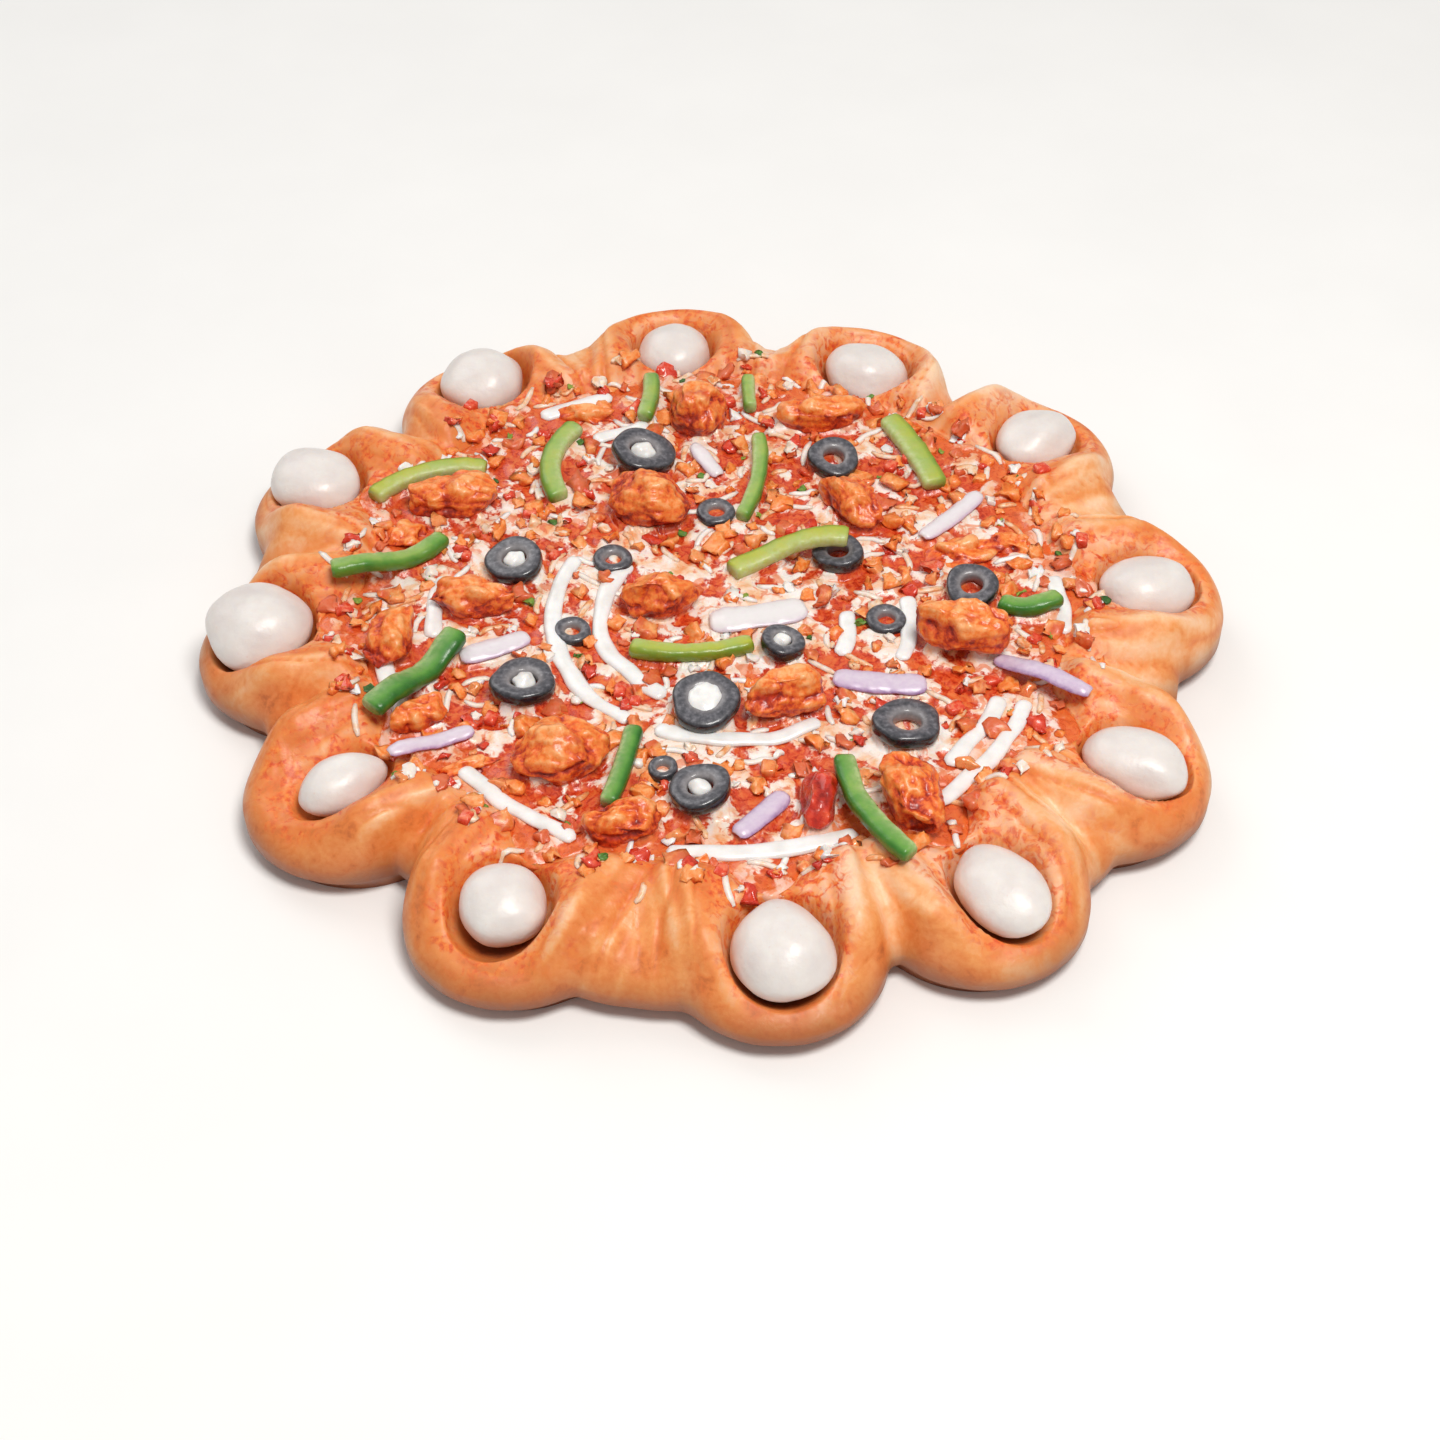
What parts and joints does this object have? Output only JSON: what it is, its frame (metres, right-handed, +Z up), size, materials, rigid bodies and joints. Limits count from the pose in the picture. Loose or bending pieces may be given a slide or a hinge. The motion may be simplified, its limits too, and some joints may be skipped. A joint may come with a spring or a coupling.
{
  "type": "pan pizza",
  "caption": "Pan pizza with a scalloped rim baked round soft white cheese balls, topped with chicken, black olive, green pepper, onion and a drizzle of cream.",
  "frame": {"origin": "middle of the flat underside that the pizza rests on", "axes": "+Z up, away from the surface it rests on; -Y is the side turned to the viewer in the picture"},
  "size_m": [0.2764, 0.2693, 0.035],
  "materials": {
    "dough": "baked dough, golden on its ridges",
    "cheese": "soft white cheese, moist",
    "bed": "tomato sauce and melted cheese, oily",
    "chicken": "spiced cooked chicken",
    "tomato": "cooked tomato, wet",
    "olive": "black olive, wet",
    "pepper": "green pepper, waxy skin",
    "onion": "red onion slice, half clear"
  },
  "bodies": {
    "root": {"crust": "dough", "sauce_and_cheese": "bed", "cheese_ball_01": "cheese", "cheese_ball_02": "cheese", "cheese_ball_03": "cheese", "cheese_ball_04": "cheese", "cheese_ball_05": "cheese", "cheese_ball_06": "cheese", "cheese_ball_07": "cheese", "cheese_ball_08": "cheese", "cheese_ball_09": "cheese", "cheese_ball_10": "cheese", "cheese_ball_11": "cheese", "cheese_ball_12": "cheese", "chicken_01": "chicken", "chicken_02": "chicken", "chicken_03": "chicken", "chicken_04": "chicken", "chicken_05": "chicken", "chicken_06": "chicken", "chicken_07": "chicken", "chicken_08": "chicken", "chicken_09": "chicken", "chicken_10": "chicken", "chicken_11": "chicken", "chicken_12": "chicken", "chicken_13": "chicken", "chicken_14": "chicken", "tomato_01": "tomato", "olive_01": "olive", "olive_02": "olive", "olive_03": "olive", "olive_04": "olive", "olive_05": "olive", "olive_06": "olive", "olive_07": "olive", "olive_08": "olive", "olive_09": "olive", "olive_10": "olive", "pepper_01": "pepper", "pepper_02": "pepper", "pepper_03": "pepper", "pepper_04": "pepper", "pepper_05": "pepper", "pepper_06": "pepper", "pepper_07": "pepper", "pepper_08": "pepper", "pepper_09": "pepper", "pepper_10": "pepper", "pepper_11": "pepper", "pepper_12": "pepper", "pepper_13": "pepper", "onion_01": "onion", "onion_02": "onion", "onion_03": "onion", "onion_04": "onion", "onion_05": "onion", "onion_06": "onion", "onion_07": "onion", "onion_08": "onion"}
  },
  "joints": []
}
